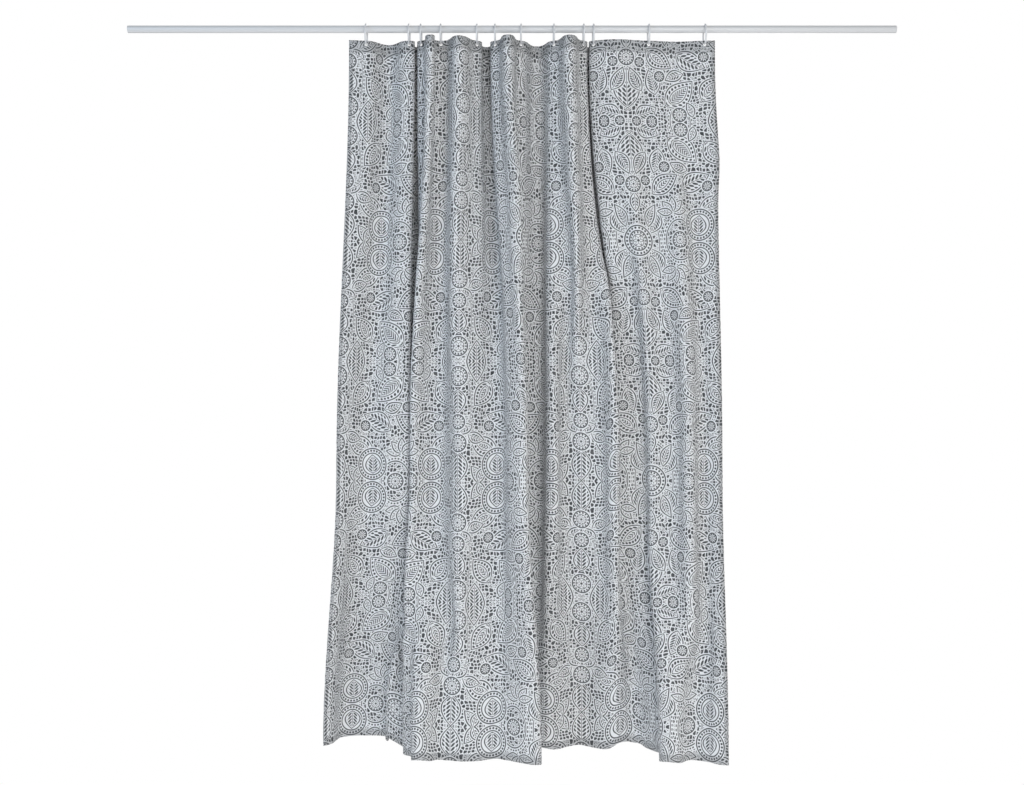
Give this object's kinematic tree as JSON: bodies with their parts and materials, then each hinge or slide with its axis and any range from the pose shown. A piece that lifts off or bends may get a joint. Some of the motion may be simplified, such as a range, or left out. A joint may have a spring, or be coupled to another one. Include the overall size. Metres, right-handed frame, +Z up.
{
  "type": "shower curtain",
  "caption": "Printed fabric shower curtain with turned hems and eyelets, hanging in soft folds from rings that slide along a straight tube.",
  "frame": {"origin": "the middle of the rod's axis, half way between its ends", "axes": "+X along the rod, to the right as seen from the front; +Y from the front to the back; +Z up"},
  "size_m": [2.128, 0.2626, 2.0261],
  "materials": {
    "rod_tube": "satin, pale grey",
    "printed_cloth": "plain weave, off-white with a dense dark grey leaf and medallion print",
    "hem_cloth": "the same printed cloth, turned and stitched",
    "ring_plastic": "white, smooth",
    "eyelet_plastic": "white, smooth"
  },
  "bodies": {
    "rod": {"rod": "rod_tube"},
    "curtain": {"curtain_panel": "printed_cloth", "top_hem": "hem_cloth", "bottom_hem": "hem_cloth", "left_side_hem": "hem_cloth", "right_side_hem": "hem_cloth"},
    "ring_01": {"ring_01": "ring_plastic", "eyelet_01": "eyelet_plastic"},
    "ring_02": {"ring_02": "ring_plastic", "eyelet_02": "eyelet_plastic"},
    "ring_03": {"ring_03": "ring_plastic", "eyelet_03": "eyelet_plastic"},
    "ring_04": {"ring_04": "ring_plastic", "eyelet_04": "eyelet_plastic"},
    "ring_05": {"ring_05": "ring_plastic", "eyelet_05": "eyelet_plastic"},
    "ring_06": {"ring_06": "ring_plastic", "eyelet_06": "eyelet_plastic"},
    "ring_07": {"ring_07": "ring_plastic", "eyelet_07": "eyelet_plastic"},
    "ring_08": {"ring_08": "ring_plastic", "eyelet_08": "eyelet_plastic"},
    "ring_09": {"ring_09": "ring_plastic", "eyelet_09": "eyelet_plastic"},
    "ring_10": {"ring_10": "ring_plastic", "eyelet_10": "eyelet_plastic"},
    "ring_11": {"ring_11": "ring_plastic", "eyelet_11": "eyelet_plastic"},
    "ring_12": {"ring_12": "ring_plastic", "eyelet_12": "eyelet_plastic"}
  },
  "joints": [
    {"name": "curtain_swing", "type": "hinge", "parent": "rod", "child": "curtain", "pos_m": [0, 0, 0], "axis": [1, 0, 0], "range_deg": [-20, 20]},
    {"name": "curtain_draw", "type": "slide", "parent": "curtain", "child": "ring_01", "axis": [1, 0, 0], "range_m": [0, 0.717], "deforming": ["curtain_panel", "top_hem", "bottom_hem", "left_side_hem", "right_side_hem"]},
    {"name": "ring_02_draw", "type": "slide", "parent": "curtain", "child": "ring_02", "axis": [1, 0, 0], "range_m": [0, 0.65752]},
    {"name": "ring_03_draw", "type": "slide", "parent": "curtain", "child": "ring_03", "axis": [1, 0, 0], "range_m": [0, 0.64101]},
    {"name": "ring_04_draw", "type": "slide", "parent": "curtain", "child": "ring_04", "axis": [1, 0, 0], "range_m": [0, 0.61352]},
    {"name": "ring_05_draw", "type": "slide", "parent": "curtain", "child": "ring_05", "axis": [1, 0, 0], "range_m": [0, 0.56351]},
    {"name": "ring_06_draw", "type": "slide", "parent": "curtain", "child": "ring_06", "axis": [1, 0, 0], "range_m": [0, 0.53852]},
    {"name": "ring_07_draw", "type": "slide", "parent": "curtain", "child": "ring_07", "axis": [1, 0, 0], "range_m": [0, 0.50252]},
    {"name": "ring_08_draw", "type": "slide", "parent": "curtain", "child": "ring_08", "axis": [1, 0, 0], "range_m": [0, 0.45702]},
    {"name": "ring_09_draw", "type": "slide", "parent": "curtain", "child": "ring_09", "axis": [1, 0, 0], "range_m": [0, 0.41577]},
    {"name": "ring_10_draw", "type": "slide", "parent": "curtain", "child": "ring_10", "axis": [1, 0, 0], "range_m": [0, 0.40227]},
    {"name": "ring_11_draw", "type": "slide", "parent": "curtain", "child": "ring_11", "axis": [1, 0, 0], "range_m": [0, 0.32576]},
    {"name": "ring_12_draw", "type": "slide", "parent": "curtain", "child": "ring_12", "axis": [1, 0, 0], "range_m": [0, 0.24812]}
  ],
  "couplings": [
    {"joint": "ring_02_draw", "follows": "curtain_draw", "ratio": 0.91702},
    {"joint": "ring_03_draw", "follows": "curtain_draw", "ratio": 0.894},
    {"joint": "ring_04_draw", "follows": "curtain_draw", "ratio": 0.85565},
    {"joint": "ring_05_draw", "follows": "curtain_draw", "ratio": 0.78591},
    {"joint": "ring_06_draw", "follows": "curtain_draw", "ratio": 0.75105},
    {"joint": "ring_07_draw", "follows": "curtain_draw", "ratio": 0.70084},
    {"joint": "ring_08_draw", "follows": "curtain_draw", "ratio": 0.63738},
    {"joint": "ring_09_draw", "follows": "curtain_draw", "ratio": 0.57985},
    {"joint": "ring_10_draw", "follows": "curtain_draw", "ratio": 0.56102},
    {"joint": "ring_11_draw", "follows": "curtain_draw", "ratio": 0.45432},
    {"joint": "ring_12_draw", "follows": "curtain_draw", "ratio": 0.34603}
  ]
}
